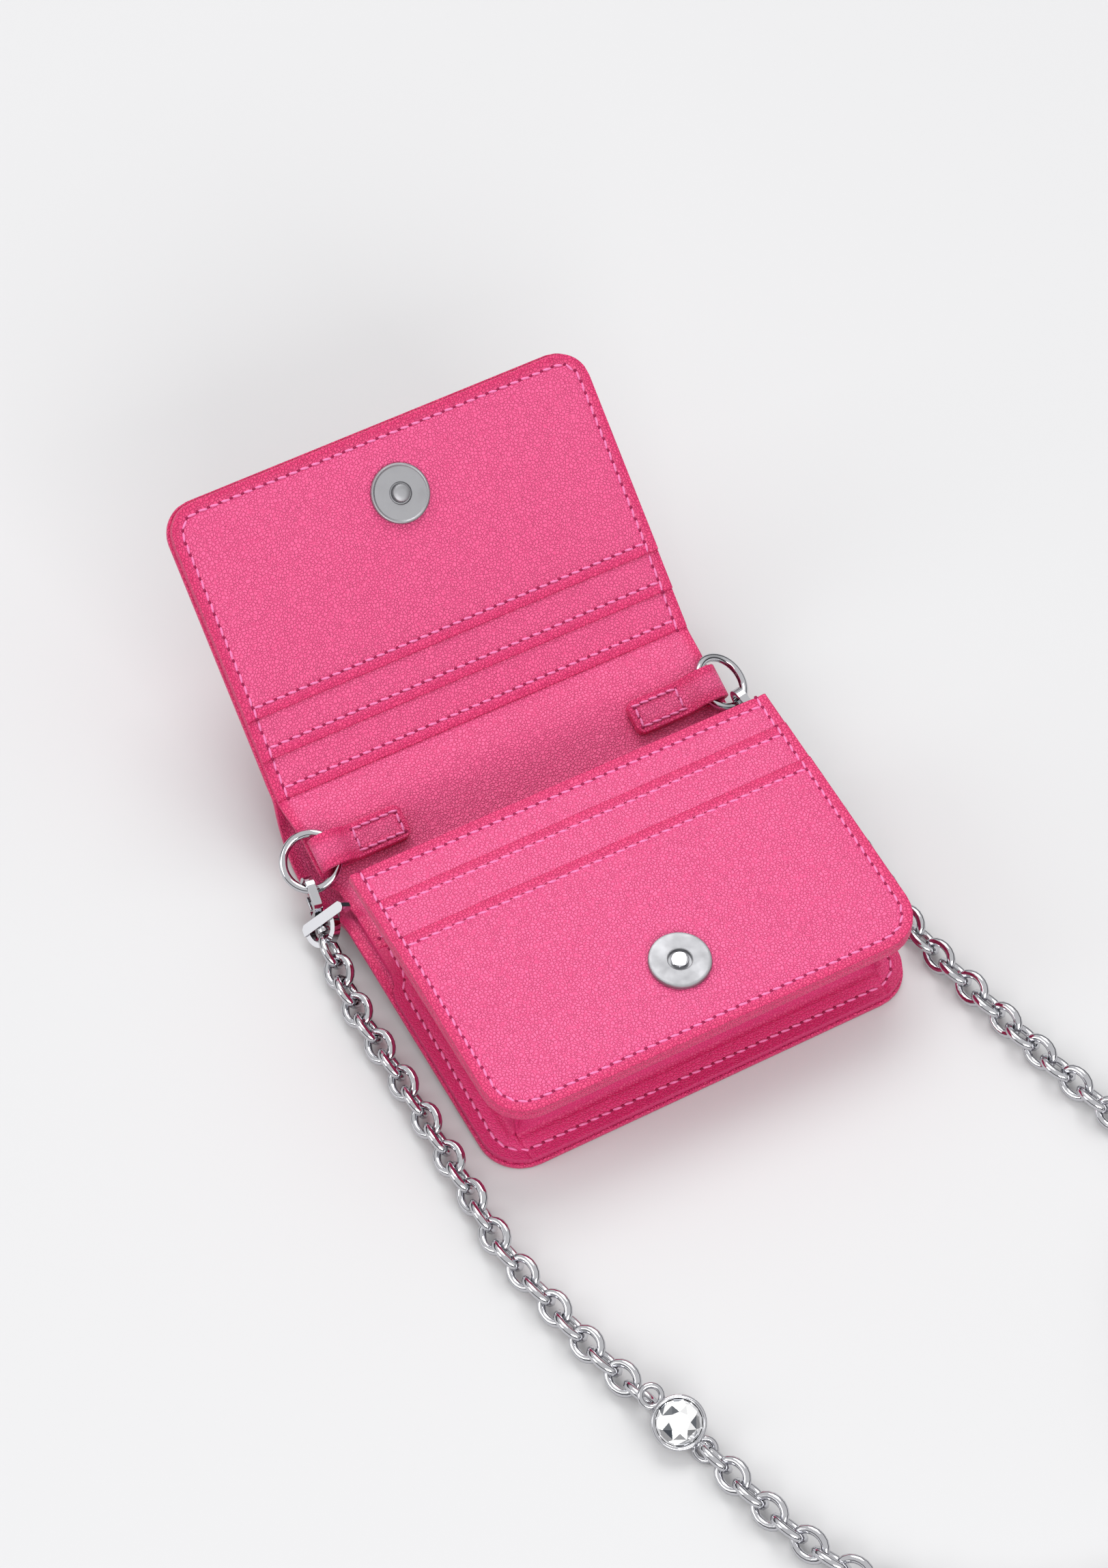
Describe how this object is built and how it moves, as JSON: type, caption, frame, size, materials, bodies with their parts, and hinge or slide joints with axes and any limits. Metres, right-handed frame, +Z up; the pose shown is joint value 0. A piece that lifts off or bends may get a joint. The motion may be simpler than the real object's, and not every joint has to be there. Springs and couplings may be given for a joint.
{
  "type": "chain wallet",
  "caption": "Open leather wallet with stepped card pockets, a raised inner leaf on a bellows, a snap flap, ring tabs with snap clasps and a chain strap with a stone-set link.",
  "frame": {"origin": "middle of the wallet's footprint (chain strap left out), on the table", "axes": "+X to the wallet's right, +Y from the back panel's free edge towards the flap, +Z up from the table"},
  "size_m": [0.1777, 0.3255, 0.063],
  "materials": {
    "leather": "semi-gloss, fine pebble grain",
    "lining": "satin",
    "polished_steel": "polished",
    "satin_snap": "satin",
    "crystal": "faceted, clear"
  },
  "bodies": {
    "back": {"back_cover": "leather", "back_lining": "lining", "panel_hem": "leather", "bellows_left": "lining", "bellows_right": "lining", "bellows_bottom": "lining", "chain_left_run": "polished_steel", "chain_lower_run": "polished_steel", "chain_right_run": "polished_steel", "chain_coil": "polished_steel", "stone_cup": "polished_steel", "stone": "crystal"},
    "spine": {"spine_cover": "leather", "spine_panel": "leather", "tab_left": "leather", "tab_right": "leather"},
    "flap": {"flap_cover": "leather", "flap_lining": "lining", "flap_pocket_front": "leather", "flap_pocket_middle": "leather", "flap_pocket_rear": "leather", "flap_snap": "satin_snap"},
    "leaf": {"leaf_board": "leather", "leaf_pocket_front": "leather", "leaf_pocket_middle": "leather", "leaf_pocket_rear": "leather", "leaf_snap": "satin_snap", "leaf_snap_pin": "polished_steel"},
    "ring_left": {"ring_left": "polished_steel"},
    "clasp_left": {"hook_left": "polished_steel"},
    "gate_left": {"gate_left": "polished_steel"},
    "swivel_left": {"swivel_left": "polished_steel"},
    "ring_right": {"ring_right": "polished_steel"},
    "clasp_right": {"hook_right": "polished_steel"},
    "gate_right": {"gate_right": "polished_steel"},
    "swivel_right": {"swivel_right": "polished_steel"}
  },
  "joints": [
    {"name": "spine_fold", "type": "hinge", "parent": "back", "child": "spine", "pos_m": [0, -0.00341, 0.00939], "axis": [1, 0, 0], "range_deg": [0, 72.1]},
    {"name": "flap_fold", "type": "hinge", "parent": "spine", "child": "flap", "pos_m": [0, 0.01712, 0.01645], "axis": [1, 0, 0], "range_deg": [-36, 72.1]},
    {"name": "leaf_slide", "type": "slide", "parent": "back", "child": "leaf", "axis": [0, -0.0751, 0.9972], "range_m": [-0.0165, 0], "deforming": ["bellows_left", "bellows_right", "bellows_bottom"]},
    {"name": "ring_left_swing", "type": "hinge", "parent": "spine", "child": "ring_left", "pos_m": [-0.049, 0.00889, 0.0144], "axis": [0, 0.9184, 0.3956], "range_deg": [0, 30]},
    {"name": "clasp_left_swing", "type": "hinge", "parent": "ring_left", "child": "clasp_left", "pos_m": [-0.05718, 0.00516, 0.00883], "axis": [-0.7912, 0.5985, -0.1256], "range_deg": [-4, 15]},
    {"name": "gate_left_open", "type": "hinge", "parent": "clasp_left", "child": "gate_left", "pos_m": [-0.05791, 0.00191, 0.00526], "axis": [0.9887, -0.1117, -0.1003], "range_deg": [0, 15], "stiffness_Nm_per_rad": 0.005, "springref_deg": -11.46},
    {"name": "swivel_left_turn", "type": "hinge", "parent": "clasp_left", "child": "swivel_left", "pos_m": [-0.05718, 0.00516, 0.00883], "axis": [-0.1359, -0.9495, -0.2828], "range_deg": [-12, 20]},
    {"name": "ring_right_swing", "type": "hinge", "parent": "spine", "child": "ring_right", "pos_m": [0.049, 0.00889, 0.0144], "axis": [0, -0.9184, -0.3956], "range_deg": [0, 30]},
    {"name": "clasp_right_swing", "type": "hinge", "parent": "ring_right", "child": "clasp_right", "pos_m": [0.05718, 0.00516, 0.00883], "axis": [-0.7912, -0.5985, 0.1256], "range_deg": [-4, 15]},
    {"name": "gate_right_open", "type": "hinge", "parent": "clasp_right", "child": "gate_right", "pos_m": [0.05791, 0.00191, 0.00526], "axis": [0.9887, 0.1117, 0.1003], "range_deg": [0, 15], "stiffness_Nm_per_rad": 0.005, "springref_deg": -11.46},
    {"name": "swivel_right_turn", "type": "hinge", "parent": "clasp_right", "child": "swivel_right", "pos_m": [0.05718, 0.00516, 0.00883], "axis": [-0.1359, 0.9495, 0.2828], "range_deg": [-12, 20]}
  ]
}
